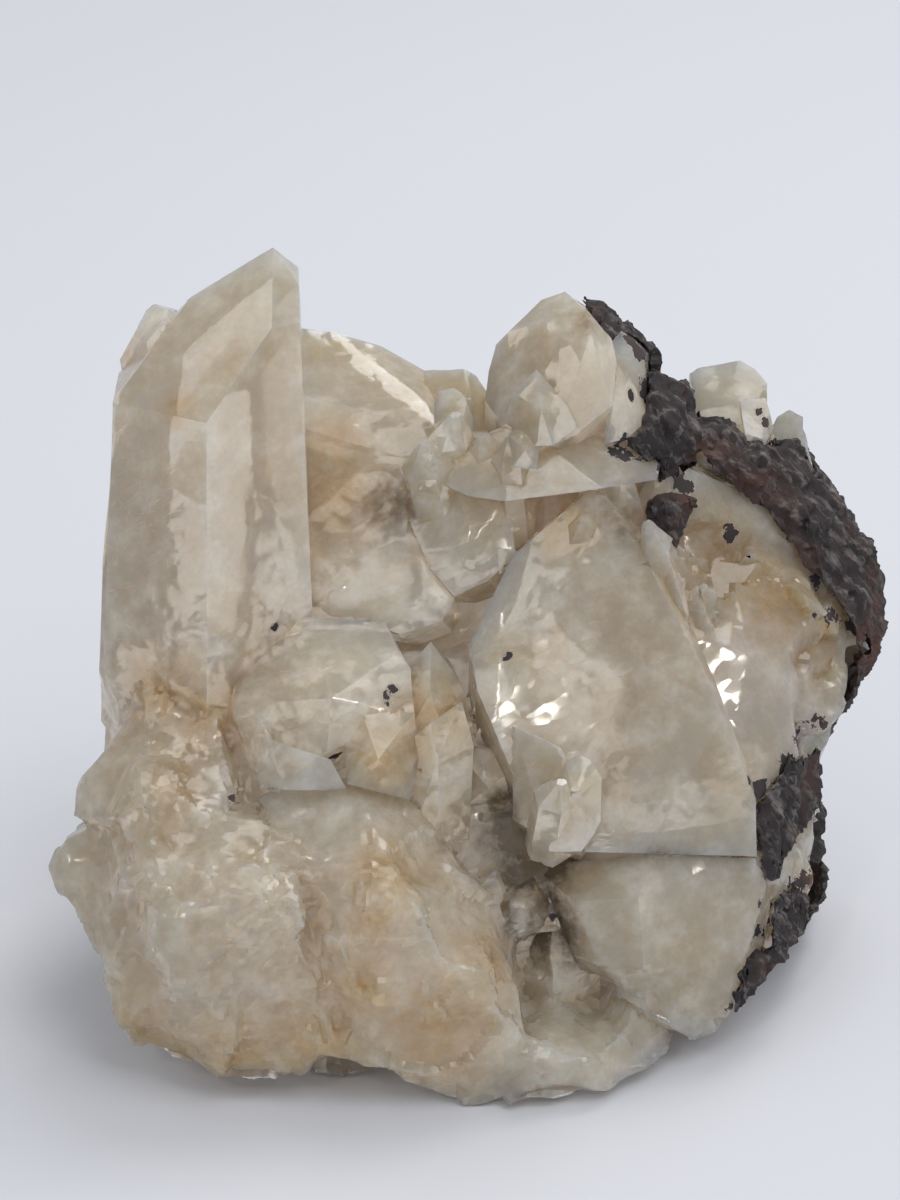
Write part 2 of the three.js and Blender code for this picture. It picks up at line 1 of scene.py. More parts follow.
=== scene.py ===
# %% [markdown]
# # A cluster of milky quartz crystals
#
# The object is a mineral specimen that fits in a hand. One tall six-sided point stands at the left, a broad
# crystal leans in the middle, and small crystals fill the pocket between them. All of it grew together on
# broken quartz. A dark rind of iron and manganese matrix still clings to the right side and the back.
#
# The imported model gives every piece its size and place, in metres. This script adds what the eye sees.

import json
import math

import bpy
import numpy as np
from mathutils import Matrix, Vector
from mathutils.kdtree import KDTree

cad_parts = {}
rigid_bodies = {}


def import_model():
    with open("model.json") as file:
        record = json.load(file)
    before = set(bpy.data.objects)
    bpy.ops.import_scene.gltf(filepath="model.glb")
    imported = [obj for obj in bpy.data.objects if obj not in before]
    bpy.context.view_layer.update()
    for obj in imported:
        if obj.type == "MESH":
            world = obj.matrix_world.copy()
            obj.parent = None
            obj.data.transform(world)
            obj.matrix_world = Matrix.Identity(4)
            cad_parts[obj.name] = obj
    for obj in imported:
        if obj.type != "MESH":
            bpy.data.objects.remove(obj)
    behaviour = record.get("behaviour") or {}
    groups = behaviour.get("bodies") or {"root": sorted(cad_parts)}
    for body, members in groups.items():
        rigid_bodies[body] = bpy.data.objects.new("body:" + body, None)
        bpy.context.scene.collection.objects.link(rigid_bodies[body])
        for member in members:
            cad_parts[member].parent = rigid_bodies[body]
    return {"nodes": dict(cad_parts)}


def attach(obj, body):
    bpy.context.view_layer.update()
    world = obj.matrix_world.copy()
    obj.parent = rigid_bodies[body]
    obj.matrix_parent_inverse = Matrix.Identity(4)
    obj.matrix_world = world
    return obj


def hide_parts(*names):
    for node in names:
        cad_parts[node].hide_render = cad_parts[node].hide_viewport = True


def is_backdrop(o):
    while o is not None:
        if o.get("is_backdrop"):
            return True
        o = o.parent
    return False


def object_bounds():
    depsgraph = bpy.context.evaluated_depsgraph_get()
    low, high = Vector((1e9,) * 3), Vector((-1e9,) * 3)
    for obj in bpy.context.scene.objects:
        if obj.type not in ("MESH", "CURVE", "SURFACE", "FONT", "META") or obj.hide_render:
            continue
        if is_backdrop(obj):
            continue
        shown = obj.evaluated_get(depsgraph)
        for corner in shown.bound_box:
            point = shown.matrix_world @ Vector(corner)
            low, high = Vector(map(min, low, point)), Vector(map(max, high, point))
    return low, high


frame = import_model()
CAD_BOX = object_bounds()
MM = 0.001
print("packed nodes:", ", ".join(sorted(frame["nodes"])))

# %% [markdown]
# ## The camera
#
# The photograph looks down on the cluster by 26 degrees from about a third of a metre away. A camera is placed
# by the point that it looks at, its distance and its tilt, so each of the three can be matched on its own.

# %% Camera
CAMERA_TARGET = Vector((-4.5, -1.6, 56)) * MM
CAMERA_DISTANCE = 330 * MM
CAMERA_TILT = math.radians(26)
CAMERA_LENS = 76.0

bpy.ops.object.camera_add()
camera = bpy.context.object
camera.name = "camera"
camera.data.lens = CAMERA_LENS
camera.data.sensor_width = 36
camera.data.clip_start = 0.01
camera.rotation_euler = (math.pi / 2 - CAMERA_TILT, 0, 0)
camera.location = CAMERA_TARGET + CAMERA_DISTANCE * Vector((0, -math.cos(CAMERA_TILT), math.sin(CAMERA_TILT)))
bpy.context.scene.camera = camera
print("camera at", [round(x, 3) for x in camera.location])

# %% [markdown]
# ## Colours and nodes
#
# Colours are written as the hex values that a paint program shows, and turned into the linear values that a
# shader counts in. One function adds a shader node with its settings, values and links.


# %% Colour and node helpers
def linear(hex_colour):
    """A #rrggbb colour as linear red, green, blue and alpha."""
    channels = [int(hex_colour[i : i + 2], 16) / 255 for i in (1, 3, 5)]
    return tuple(c / 12.92 if c <= 0.04045 else ((c + 0.055) / 1.055) ** 2.4 for c in channels) + (1.0,)


def add(material, kind, inputs=None, **settings):
    """Add a node: settings are its own properties, and inputs are values or sockets to link from."""
    tree = material.node_tree
    made = tree.nodes.new(kind)
    for name, value in settings.items():
        setattr(made, name, value)
    for name, value in (inputs or {}).items():
        if isinstance(value, bpy.types.NodeSocket):
            tree.links.new(value, made.inputs[name])
        else:
            made.inputs[name].default_value = value
    return made


print("the grey #808080 is", round(linear("#808080")[0], 3), "in linear light")

# %% [markdown]
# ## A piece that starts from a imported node
#
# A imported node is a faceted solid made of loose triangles, so a copy of it is merged first. The copy is then
# free to be changed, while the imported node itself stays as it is.


# %% Copy of a node
def copy_of(node, name):
    """A copy of a node's solid as a mesh of its own, with its points merged."""
    bpy.ops.object.select_all(action="DESELECT")
    source = frame["nodes"][node]
    source.select_set(True)
    bpy.context.view_layer.objects.active = source
    bpy.ops.object.duplicate()
    piece = bpy.context.object
    piece.name = name
    piece.data.name = name
    bpy.ops.object.mode_set(mode="EDIT")
    bpy.ops.mesh.select_all(action="SELECT")
    bpy.ops.mesh.remove_doubles(threshold=0.02 * MM)
    bpy.ops.object.mode_set(mode="OBJECT")
    print(name, "starts with", len(piece.data.polygons), "faces")
    return piece


quartz = copy_of("quartz_cluster", "quartz")

# %% [markdown]
# ## Small crystals
#
# Between the large crystals, and behind the ledge, the quartz bristles with points 5 to 17 mm wide. One is
# modelled: a six-sided cylinder whose top is drawn out to a blunt tip, a little off centre as in nature. Its
# copies are turned, sized and set one by one, and one Boolean joins them to the cluster, because they grew as one.

# %% One crystal
# It is one metre wide and one metre long, so that a copy's scale is its size.
bpy.ops.object.select_all(action="DESELECT")
bpy.ops.mesh.primitive_cylinder_add(vertices=6, radius=0.5, depth=1, location=(0, 0, -0.75))
crystal = bpy.context.object
bpy.ops.object.mode_set(mode="EDIT")
bpy.ops.mesh.select_mode(type="FACE")
bpy.ops.mesh.select_all(action="DESELECT")
bpy.ops.object.mode_set(mode="OBJECT")
crystal.data.polygons.foreach_set("select", [face.normal.z > 0.9 for face in crystal.data.polygons])
bpy.ops.object.mode_set(mode="EDIT")
bpy.ops.mesh.extrude_region_move(TRANSFORM_OT_translate={"value": (0.07, 0.04, 0.25)})
bpy.ops.transform.resize(value=(0.25, 0.2, 1), center_override=(0.07, 0.04, 0))
bpy.ops.object.mode_set(mode="OBJECT")
bpy.ops.object.transform_apply(location=True)
print("one small crystal has", len(crystal.data.polygons), "faces")

# %% Its copies
# Each is its tip's x, y and z, its width and its length in millimetres, and which way it leans along x and y.
SMALL_CRYSTALS = [
    (20.5, -1, 66.5, 5.0, 16, -0.5, -0.25), (27.5, -2, 58.5, 5, 12, -0.3, -0.2),
    (8, 7, 73, 17, 32, -0.12, -0.22), (17, 5, 71, 13, 26, 0.2, -0.3), (0.5, 5, 74, 14, 26, -0.2, -0.25),
    (12.5, -1, 67, 7.5, 16, 0.1, -0.6), (-8, 3, 76, 7.5, 14, -0.2, -0.2), (-4, 5, 79, 7, 14, 0.15, -0.2),
    (3, 1.5, 77.5, 5, 12, -0.1, -0.1), (-0.5, 3.5, 76.5, 6.5, 12, -0.3, -0.3), (9, -25, 42, 6, 10, 0.1, -0.3),
    (23, 10, 71, 13, 26, 0.1, -0.2),
]
rng = np.random.default_rng(11)
for x, y, z, width, length, lean_x, lean_y in SMALL_CRYSTALS:
    bpy.ops.object.select_all(action="DESELECT")
    crystal.select_set(True)
    bpy.context.view_layer.objects.active = crystal
    bpy.ops.object.duplicate()
    copy = bpy.context.object
    copy.scale = (width * MM, width * rng.uniform(0.8, 1.0) * MM, length * MM)
    axis = Vector((lean_x, lean_y, 1)).normalized()
    spin = Vector((0, 0, 1)).rotation_difference(axis).to_matrix().to_4x4()
    spin = spin @ Matrix.Rotation(rng.uniform(0, math.pi / 3), 4, "Z")
    copy.rotation_euler = spin.to_euler()
    copy.location = Vector((x, y, z)) * MM
    bpy.ops.object.transform_apply(location=True, rotation=True, scale=True)
    copy.name = "small crystal"
bpy.data.objects.remove(crystal)
print("placed", len(SMALL_CRYSTALS), "small crystals")

# %% Join them to the cluster
bpy.ops.object.select_all(action="DESELECT")
copies = [piece for piece in bpy.data.objects if piece.name.startswith("small crystal")]
for copy in copies:
    copy.select_set(True)
bpy.context.view_layer.objects.active = copies[0]
bpy.ops.object.join()
joined = quartz.modifiers.new("join small crystals", "BOOLEAN")
joined.operation = "UNION"
joined.object = copies[0]
joined.solver = "EXACT"
joined.use_self = True
bpy.context.view_layer.objects.active = quartz
bpy.ops.object.modifier_apply(modifier=joined.name)
bpy.data.objects.remove(copies[0])
print("joined to the small crystals, quartz has", len(quartz.data.polygons), "faces")

# %% [markdown]
# ## Even faces
#
# The joined solid has long thin triangles, which can't take any relief. Remesh rebuilds it from small even
# squares. Its Sharp mode keeps the crystals' straight edges, which Voxel mode would round off.


# %% Remesh
def remesh_evenly(piece, cell):
    """Rebuild a mesh from squares of about the given size, in metres."""
    remesh = piece.modifiers.new("even faces", "REMESH")
    remesh.mode = "SHARP"
    remesh.octree_depth = 8
    remesh.scale = max(piece.dimensions) / (cell * 2**8)
    bpy.context.view_layer.objects.active = piece
    bpy.ops.object.modifier_apply(modifier=remesh.name)
    print(piece.name, "has", len(piece.data.polygons), "faces")


QUARTZ_CELL = 0.7 * MM
remesh_evenly(quartz, QUARTZ_CELL)

# %% [markdown]
# ## Where the quartz is broken
#
# The crystal faces are smooth, and the lumps below and the whole back are broken. Zones given as ellipsoids
# hold that knowledge: each point of the mesh takes a number from 0 to 1 by how deep it lies in a zone.


# %% Zones
def points_of(piece):
    """All of a mesh's points, in millimetres."""
    flat = np.empty(len(piece.data.vertices) * 3)
    piece.data.vertices.foreach_get("co", flat)
    return flat.reshape(-1, 3) / MM


def depth_in_zones(points, zones, soft=0.3):
    """0 outside every zone and 1 in the middle of one. A zone is x, y, z and one or three radii, in mm."""
    deepest = np.zeros(len(points))
    for zone in zones:
        reach = np.linalg.norm((points - zone[:3]) / np.array(zone[3:]), axis=1)
        deepest = np.maximum(deepest, np.clip((1 - reach) / soft, 0, 1))
    return deepest


BROKEN_ZONES = [
    (-47, -14, 36, 19, 19, 14), (-34, -30, 16, 34, 24, 27), (-9, -32, 14, 25, 22, 26), (14, -30, 5, 22, 18, 12),
    (24, -22, 3, 14, 14, 9), (46, -2, 14, 17, 18, 22), (46, 4, 36, 10, 12, 14),
]
POCKET_ZONES = [(8, -14, 24, 11), (11, -16, 16, 11)]
BACK_STARTS = 17
CRYSTALS_START = 70


def how_broken(points):
    """How broken the quartz is: the zones in front, and the back below the crystals, but not the pocket."""
    behind = np.clip((points[:, 1] - BACK_STARTS) / 5, 0, 1)
    behind *= np.clip((CRYSTALS_START - points[:, 2]) / 8, 0, 1)
    in_front = depth_in_zones(points, BROKEN_ZONES)
    return np.maximum(in_front, behind) * (1 - depth_in_zones(points, POCKET_ZONES, soft=0.5))


broken = how_broken(points_of(quartz))
print("broken ground is", round(float((broken > 0.5).mean()), 2), "of the quartz")

# %% [markdown]
# ## Shells and chips
#
# Quartz doesn't split along planes. A blow leaves round hollows like the inside of a shell, and between them
# small flats that meet at blunt edges. A Displace modifier can cut neither, so both are made by moving the
# points in code. That takes a mask to say where, and each point's direction outwards.


# %% Masks
def keep_mask(piece, name, values):
    """Store a mask both as a vertex group, for modifiers, and as an attribute, for shaders."""
    group = piece.vertex_groups.new(name=name + " zone")
    for step in range(1, 11):
        chosen = np.nonzero(np.round(values * 10) == step)[0]
        group.add(chosen.tolist(), step / 10, "REPLACE")
    attribute = piece.data.attributes.new(name, "FLOAT", "POINT")
    attribute.data.foreach_set("value", values.astype(np.float32))
    print(name, "covers", round(float((values > 0.5).mean()), 2), "of", piece.name)


# %% Directions, edges and joints
def facing_of(piece):
    """Each point's own direction outwards, the same one evened out with its neighbours', and the edges."""
    own = np.empty(len(piece.data.vertices) * 3)
    piece.data.vertices.foreach_get("normal", own)
    own = own.reshape(-1, 3)
    edges = np.empty(len(piece.data.edges) * 2, dtype=int)
    piece.data.edges.foreach_get("vertices", edges)
    edges = edges.reshape(-1, 2)
    even = own
    for _ in range(4):
        total = even.copy()
        np.add.at(total, edges[:, 0], even[edges[:, 1]])
        np.add.at(total, edges[:, 1], even[edges[:, 0]])
        even = total / np.linalg.norm(total, axis=1, keepdims=True)
    return own, even, edges


def standing_out(piece, rounds):
    """How far each point stands out from its neighbours: above 0 on an edge and below 0 in a joint."""
    points = points_of(piece)
    own, _, edges = facing_of(piece)
    count = np.bincount(edges.ravel(), minlength=len(points))
    along = points[edges[:, 0]] - points[edges[:, 1]]
    along /= np.maximum(np.linalg.norm(along, axis=1, keepdims=True), 1e-6)
    value = np.zeros(len(points))
    np.add.at(value, edges[:, 0], np.einsum("ij,ij->i", along, own[edges[:, 0]]))
    np.add.at(value, edges[:, 1], -np.einsum("ij,ij->i", along, own[edges[:, 1]]))
    value /= np.maximum(count, 1)
    for _ in range(rounds):
        total = value.copy()
        np.add.at(total, edges[:, 0], value[edges[:, 1]])
        np.add.at(total, edges[:, 1], value[edges[:, 0]])
        value = total / (count + 1)
    return value


def open_ground(own, even):
    """1 on open ground, and 0 where a point's direction is far from its neighbours', as in a narrow joint."""
    return np.clip((np.einsum("ij,ij->i", own, even) - 0.55) / 0.3, 0, 1)


# %% [markdown]
# A hollow is cut by a sphere whose centre lies outside the surface. A flat is a plane through a random point,
# tipped a little, and the points near it drop to the lowest such plane. Points in narrow joints stay where they
# are, because there the two sides would run through each other.


# %% Hollows
def scattered(points, chosen, spacing, rng):
    """Random points out of the chosen ones, about one for each cube of the spacing, in mm."""
    taken = {}
    for index in rng.permutation(chosen):
        taken.setdefault(tuple((points[index] // spacing).astype(int)), index)
    return np.array(list(taken.values()))


def scoop(piece, amount, width, depth, seed):
    """Cut round hollows of about a width and a depth, in mm."""
    rng = np.random.default_rng(seed)
    points = points_of(piece)
    own, even, _ = facing_of(piece)
    amount = amount * open_ground(own, even)
    starts = scattered(points, np.nonzero(amount > 0.5)[0], width * 1.1, rng)
    for start in starts:
        wide, deep = width * rng.uniform(0.6, 1.4), depth * rng.uniform(0.4, 1.2)
        radius = wide**2 / (8 * deep)
        tipped = even[start] + rng.normal(0, 0.25, 3)
        centre = points[start] + tipped / np.linalg.norm(tipped) * (radius - deep)
        away = points - centre
        reach = np.linalg.norm(away, axis=1)
        near = np.clip((0.7 - np.linalg.norm(points - points[start], axis=1) / wide) / 0.2, 0, 1)
        alike = np.clip((even @ even[start] - 0.4) / 0.2, 0, 1)
        hit = np.nonzero((reach < radius) & (near * alike > 0))[0]
        out = away[hit] / reach[hit, None] * np.minimum(radius - reach[hit], deep)[:, None]
        points[hit] += out * (amount * near * alike)[hit, None]
    piece.data.vertices.foreach_set("co", (points * MM).ravel())
    piece.data.update()
    print(piece.name, "scooped", len(starts), "times,", width, "mm wide")


# %% Flats
def chip(piece, amount, size, tip, most, seed):
    """Cut the surface into flats of about a size, in mm, tipped by about a slope, by at most a depth in mm."""
    rng = np.random.default_rng(seed)
    points = points_of(piece)
    own, even, _ = facing_of(piece)
    amount = amount * open_ground(own, even)
    inside = np.nonzero(amount > 0.05)[0]
    seeds = scattered(points, inside, size, rng)
    tilted = even[seeds] + rng.normal(0, tip, (len(seeds), 3))
    tilted /= np.linalg.norm(tilted, axis=1, keepdims=True)
    tree = KDTree(len(seeds))
    for i, index in enumerate(seeds):
        tree.insert(points[index], i)
    tree.balance()
    moved = points.copy()
    for index in inside:
        near = [found[1] for found in tree.find_n(points[index], 5)]
        slope = tilted[near] @ even[index]
        drop = np.einsum("ij,ij->i", points[seeds[near]] - points[index], tilted[near]) / np.maximum(slope, 0.4)
        drop[slope < 0.5] = 0.0
        depth = np.clip(drop.min(), -most, most * 0.5) * amount[index]
        moved[index] = points[index] + even[index] * depth
    piece.data.vertices.foreach_set("co", (moved * MM).ravel())
    piece.data.update()
    print(piece.name, "chipped into", len(seeds), "flats of", size, "mm")


# %% [markdown]
# Gentler relief needs no code of its own: Displace moves the points by a texture, and Smooth rounds edges off.


# %% Textures and smoothing
def push(piece, kind, size, height, group=None, middle=0.5, **settings):
    """Move a mesh in and out along its normals by a texture of the given feature size, in metres."""
    texture = bpy.data.textures.new(f"{piece.name} {kind} {size}", kind)
    texture.noise_scale = size
    for name, value in settings.items():
        setattr(texture, name, value)
    modifier = piece.modifiers.new("push", "DISPLACE")
    modifier.texture = texture
    modifier.texture_coords = "LOCAL"
    modifier.strength = height
    modifier.mid_level = middle
    if group:
        modifier.vertex_group = group
    bpy.context.view_layer.objects.active = piece
    bpy.ops.object.modifier_apply(modifier=modifier.name)
    print(piece.name, "pushed by", round(height / MM, 2), "mm in waves of", round(size / MM), "mm")


def soften(piece, group, rounds):
    """Round off the edges inside a vertex group."""
    modifier = piece.modifiers.new("soften", "SMOOTH")
    modifier.vertex_group = group
    modifier.factor = 0.5
    modifier.iterations = rounds
    bpy.context.view_layer.objects.active = piece
    bpy.ops.object.modifier_apply(modifier=modifier.name)
    print(piece.name, "softened", rounds, "times in its", group)


# %% [markdown]
# The broken ground is first rounded off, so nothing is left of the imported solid's facets there. Then it gets
# waves and large flats of 9 mm, shell-like hollows of 11 mm across them, and small flats of 4 mm on top.

# %% Break the lumps and the back
keep_mask(quartz, "broken", broken)
keep_mask(quartz, "whole", 1 - broken)
soften(quartz, "broken zone", rounds=12)
push(quartz, "CLOUDS", size=9 * MM, height=1.6 * MM, group="broken zone")
chip(quartz, broken, size=9, tip=0.3, most=1.6, seed=3)
scoop(quartz, broken, width=11, depth=0.7, seed=5)
soften(quartz, "broken zone", rounds=1)
chip(quartz, broken, size=4, tip=0.16, most=0.4, seed=4)

# %% Wear
# Flakes too thin to last stand out most from their neighbours. They are worn off, most of all at the left rim.
RIM_ZONES = [(-53, -17, 37, 9)]
keep_mask(quartz, "thin", np.clip((standing_out(quartz, 0) - 0.36) / 0.12, 0, 1) * broken)
soften(quartz, "thin zone", rounds=6)
keep_mask(quartz, "rim", depth_in_zones(points_of(quartz), RIM_ZONES, soft=0.5))
soften(quartz, "rim zone", rounds=30)

# %% A knobbly field
# At the right, intergrown points of 5 to 7 mm make a knobbly field of facets.
KNOBBLY_ZONES = [(38, 1, 57, 13, 10, 9), (46, 4, 49, 8, 8, 8), (30, 2, 61, 7, 7, 6)]
knobbly = depth_in_zones(points_of(quartz), KNOBBLY_ZONES)
keep_mask(quartz, "knobbly", knobbly)
soften(quartz, "knobbly zone", rounds=6)
chip(quartz, knobbly, size=7, tip=0.42, most=2.3, seed=8)

# %% Slight waves on the crystal faces
push(quartz, "CLOUDS", size=9 * MM, height=0.22 * MM, group="whole zone")

# %% The underside
# What was pushed below the floor is worn flat by it.
places = points_of(quartz)
places[:, 2] = np.maximum(places[:, 2], 0)
quartz.data.vertices.foreach_set("co", (places * MM).ravel())
print(int((places[:, 2] < 0.1).sum()), "points of the quartz touch the floor")

# %% Fewer faces where few are needed
# The back below the crystals and the underside take fewer faces, so that the front can have more.
FACES_KEPT = 0.72
back = (places[:, 1] > 14) & (places[:, 2] < 72)
underside = places[:, 2] < 3
keep_mask(quartz, "behind", (back | underside).astype(float))
thinner = quartz.modifiers.new("fewer faces", "DECIMATE")
thinner.ratio = FACES_KEPT
thinner.vertex_group = "behind zone"
bpy.context.view_layer.objects.active = quartz
bpy.ops.object.modifier_apply(modifier=thinner.name)
print("quartz has", sum(len(p.vertices) - 2 for p in quartz.data.polygons), "triangles")

# %% Smooth shading
# Above an angle of 18 degrees an edge stays crisp, as between two crystal faces.
CRISP_EDGE = math.radians(18)
bpy.ops.object.select_all(action="DESELECT")
quartz.select_set(True)
bpy.ops.object.shade_smooth_by_angle(angle=CRISP_EDGE)
print("edges above", round(math.degrees(CRISP_EDGE)), "degrees stay crisp")

# %% [markdown]
# ## Stains, film and specks
#
# Iron in seeping water left rusty stains low down and along the joints between crystals. Beyond the rind's
# edge the matrix thins to a black film on the quartz, in blots of a few millimetres. Both are colour alone, so
# they are masks in the mesh, and noise in the material makes their edges ragged.

# %% Where the stains and the film are
OCHRE_ZONES = [
    (-42, -10, 47, 9), (-36, -13, 45, 9), (-20, 6, 68, 11), (-43, -34, 6, 14), (-32, -36, 6, 14), (-22, -36, 8, 13),
    (-14, -34, 27, 6), (-16, -36, 18, 9), (2, -30, 20, 9), (-6, -37, 12, 12), (31, 5, 59, 12), (39, 4, 55, 12),
    (46, 4, 47, 10), (-20, 9, 73, 7), (-6, -14, 46, 8), (-46, 7, 87, 5), (-38, -7, 85, 4), (-13, -21, 43, 8),
    (-12, -30, 33, 8), (-40, -20, 38, 6), (10, -1, 67, 8),
]
BROWN_ZONES = [
    (-12, 5, 67, 7), (18, 1, 67, 7), (-5, -20, 31, 3), (13, 9, 91, 4.5), (22, -21, 29, 3), (9, -20, 20, 7),
]
STREAKY_ZONES = [(38, -3, 47, 13), (33, -8, 44, 8), (41, -4, 40, 9)]
# The pocket below the broad crystal is painted dark brown.
DARK_POCKET_ZONES = [(10, -15, 17, 11), (4, -16, 30, 8), (7, -14, 24, 9)]
FILM_ZONES = [
    (13, 15, 91, 1.4), (15, 18, 89, 1.7), (16, 18, 87, 2), (18, 17, 86, 1.7), (19, 16, 85, 1.8),
    (21, 15, 84, 2), (22, 17, 81, 2.2), (22, 13, 80, 2.8), (24, 12, 79, 3.2), (27, 16, 79, 2.2),
    (27, 14, 78, 2.4), (23, 8, 77, 3.2), (26, 9, 76, 3), (24, 7, 75, 3.2), (21, 7, 74, 2.6), (18, 7, 74, 2.2),
    (27, 11, 72, 2.4), (25, 9, 72, 2.6), (24, 8, 70, 2.4), (26, 9, 68, 2.2), (29, 13, 73, 2),
    (30, 18, 74, 1.8), (32, 17, 73, 2.4), (33, 14, 72, 2.6), (32, 11, 71, 2.4), (35, 10, 68, 2.6),
    (33, 8, 61, 1.8), (33, 4, 58, 1.7), (37, 6, 60, 1.3), (30, 7, 63, 1), (37, 19, 74, 0.9), (38, 18, 73, 1),
    (42, 11, 64, 2), (45, 9, 57, 2), (45, 10, 53, 1.8), (47, 7, 50, 2.2), (50, 9, 48, 2.2), (52, 9, 46, 2.4),
    (54, 10, 43, 2.2), (45, 3, 48, 0.9), (44, 4, 51, 0.9), (45, -2, 38, 2), (43, -4, 38, 2.4),
    (42, -5, 37, 2.4), (41, -8, 36, 2.2), (40, -9, 35, 2.6), (43, -6, 33, 2.2), (40, -10, 33, 2.6),
    (44, -6, 30, 2.4), (43, -7, 27, 2.2), (38, -12, 34, 1.8), (36, -13, 34, 1.7), (36, -14, 31, 1.7),
    (36, -15, 28, 1.6), (37, -16, 25, 1.4), (37, -16, 23, 1.2), (34, -14, 36, 1.2), (45, -7, 19, 2.4),
    (43, -9, 18, 2.6), (42, -12, 18, 2.6), (40, -15, 18, 2.4), (40, -16, 15, 3), (38, -19, 14, 3),
    (37, -21, 12, 2.8), (35, -22, 10, 2.6), (34, -24, 9, 2.4), (32, -26, 8, 2.2), (26, -28, 5, 1.6),
    (36, -18, 20, 1), (36, -18, 16, 1.2), (-12, -14, 49, 1.8), (-19, -17, 41, 1.3), (3, -10, 52, 1.0),
    (19, 10, 80, 1.0), (-32, -20, 37, 0.9), (-38, -34, 6, 0.9), (9, -20, 19, 0.9), (-27, -7, 55, 0.9),
]

# %% Their masks
# The noise eats the outer half of a spot of film, so its zone is twice as wide as the spot.
FILM_REACH = 2
places = points_of(quartz)
# The edge mask carries painted light: below, the quartz's edges are painted paler, as if lit through.
keep_mask(quartz, "edge", np.clip((standing_out(quartz, 1) - 0.05) / 0.15, 0, 1))
keep_mask(quartz, "joint", np.clip((-standing_out(quartz, 3) - 0.03) / 0.12, 0, 1))
keep_mask(quartz, "ochre", depth_in_zones(places, OCHRE_ZONES, soft=1.0))
keep_mask(quartz, "brown", depth_in_zones(places, BROWN_ZONES, soft=1.0))
keep_mask(quartz, "streaky", depth_in_zones(places, STREAKY_ZONES, soft=0.6))
# Where the pocket is painted dark brown.
keep_mask(quartz, "smoky", depth_in_zones(places, DARK_POCKET_ZONES, soft=1.0))
wider = [(x, y, z, radius * FILM_REACH) for x, y, z, radius in FILM_ZONES]
keep_mask(quartz, "film", depth_in_zones(places, wider, soft=1.0))

# %% [markdown]
# ## Milky quartz
#
# Quartz is a clear mineral. Countless tiny bubbles and healed cracks make it milky, so light goes in, scatters
# warm and comes out again nearby, and some passes straight through. The Principled shader does both: subsurface
# scattering for the milk, and transmission with quartz's index of 1.54 for the clear part. The crystal faces
# are glassy and reflect a pale sheen, and broken ground is duller.

# %% Quartz material and its masks
milky_quartz = bpy.data.materials.new("milky quartz")
milky_quartz.use_nodes = True
milky_quartz.node_tree.nodes.clear()
where = add(milky_quartz, "ShaderNodeTexCoord").outputs["Object"]
mask = {
    name: add(milky_quartz, "ShaderNodeAttribute", attribute_name=name).outputs["Fac"]
    for name in ("broken", "edge", "joint", "ochre", "brown", "streaky", "smoky", "film")
}
print("milky quartz reads", ", ".join(mask))

# %% [markdown]
# ### Patterns in the quartz
#
# A pattern's scale is how many of its features fit in a metre. The milk is uneven in clouds of 12 mm, in healed
# shards of 9 mm with bent borders, and in wisps of 6 mm. Ragged noise of 2 mm eats into the stains. At the
# right, streaks of 1 mm run up the crystals.

# %% Clouds, wisps, streaks and shards
clouds = add(milky_quartz, "ShaderNodeTexNoise", {"Vector": where, "Scale": 80, "Detail": 2, "Roughness": 0.5})
wisps = add(milky_quartz, "ShaderNodeTexNoise", {"Vector": where, "Scale": 170, "Detail": 4, "Roughness": 0.66})
upright = add(milky_quartz, "ShaderNodeMapping", {"Vector": where, "Scale": (1, 1, 7)}, vector_type="TEXTURE")
streaks = add(
    milky_quartz,
    "ShaderNodeTexNoise",
    {"Vector": upright.outputs["Vector"], "Scale": 900, "Detail": 2, "Roughness": 0.7},
)
streaked = add(
    milky_quartz, "ShaderNodeMath", {0: streaks.outputs["Fac"], 1: mask["streaky"]}, operation="MULTIPLY"
)
ragged = add(milky_quartz, "ShaderNodeTexNoise", {"Vector": where, "Scale": 420, "Detail": 3, "Roughness": 0.7})

BENT_BY = 6 * MM
bends = add(milky_quartz, "ShaderNodeTexNoise", {"Vector": where, "Scale": 150, "Detail": 1})
bent = add(
    milky_quartz,
    "ShaderNodeVectorMath",
    {0: bends.outputs["Color"], 1: (BENT_BY,) * 3, 2: where},
    operation="MULTIPLY_ADD",
)
shards = add(milky_quartz, "ShaderNodeTexVoronoi", {"Vector": bent.outputs["Vector"], "Scale": 110})
shard = add(milky_quartz, "ShaderNodeSeparateColor", {"Color": shards.outputs["Color"]})
print("milky quartz has", len(milky_quartz.node_tree.nodes), "nodes for its patterns")

# %% Colours in layers
# Each layer goes on where its own factor is high. The milk is warm white, edges are painted paler as painted light,
# where the light would come through them, and joints hold a little rust.
colour = linear("#e0cfb5")
for factor, low, high, strongest, tint in (
    (clouds.outputs["Fac"], 0.3, 0.7, 1.0, "#ebdfcd"),
    (shard.outputs["Red"], 0.3, 0.9, 0.5, "#eee7da"),
    (wisps.outputs["Fac"], 0.48, 0.7, 0.5, "#f7f2ea"),
    (streaked.outputs[0], 0.2, 0.6, 0.9, "#e3dad2"),
    # painted light: edges painted paler, as if light came through them
    (mask["edge"], 0.1, 1.0, 0.35, "#f3efe7"),
    (mask["joint"], 0.2, 1.0, 0.2, "#a98c5e"),
):
    amount = add(
        milky_quartz, "ShaderNodeMapRange", {"Value": factor, "From Min": low, "From Max": high, "To Max": strongest}
    ).outputs["Result"]
    colour = add(
        milky_quartz, "ShaderNodeMix", {"Factor": amount, "A": colour, "B": linear(tint)}, data_type="RGBA"
    ).outputs["Result"]
print("milky quartz has", len(milky_quartz.node_tree.nodes), "nodes with its colours")
